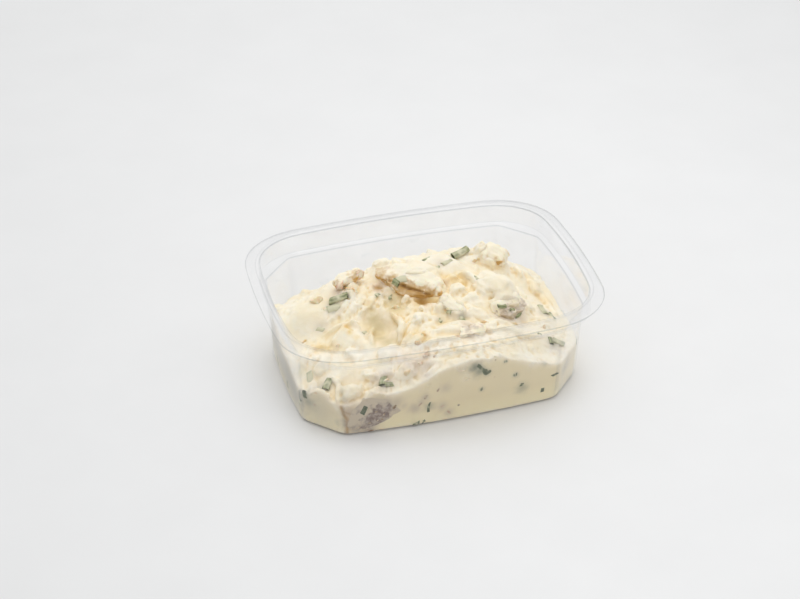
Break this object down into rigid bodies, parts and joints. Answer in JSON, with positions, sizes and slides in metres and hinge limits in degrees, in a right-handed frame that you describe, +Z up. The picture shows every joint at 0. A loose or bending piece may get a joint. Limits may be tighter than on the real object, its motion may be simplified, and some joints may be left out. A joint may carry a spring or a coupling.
{
  "type": "eel salad in a clear tub",
  "caption": "Creamy salad of smoked eel and cut chives, heaped in a clear plastic tub with a rounded flat rim and an eight-sided body.",
  "frame": {"origin": "middle of the tub's base, on the surface it stands on", "axes": "+Z up, +X along the tub's long side, +Y towards its back"},
  "size_m": [0.108, 0.081, 0.0348],
  "materials": {
    "clear_plastic": "clear, thin, thermoformed, glossy on both faces",
    "cream": "pale yellow mayonnaise dressing, soft sheen, with bits of eel and chives in it",
    "eel": "smoked eel flesh, beige to golden brown, oily, partly coated with dressing",
    "skinned_eel": "smoked eel with its grey-mauve outer flesh and dark green-black skin",
    "chive": "cut chives, dark green, moist"
  },
  "bodies": {
    "root": {"tub": "clear_plastic", "salad": "cream", "eel_fillet": "eel", "eel_strip": "eel", "eel_skinned": "skinned_eel", "eel_back": "eel", "eel_left": "eel", "eel_front": "skinned_eel", "eel_window": "skinned_eel"}
  },
  "joints": []
}
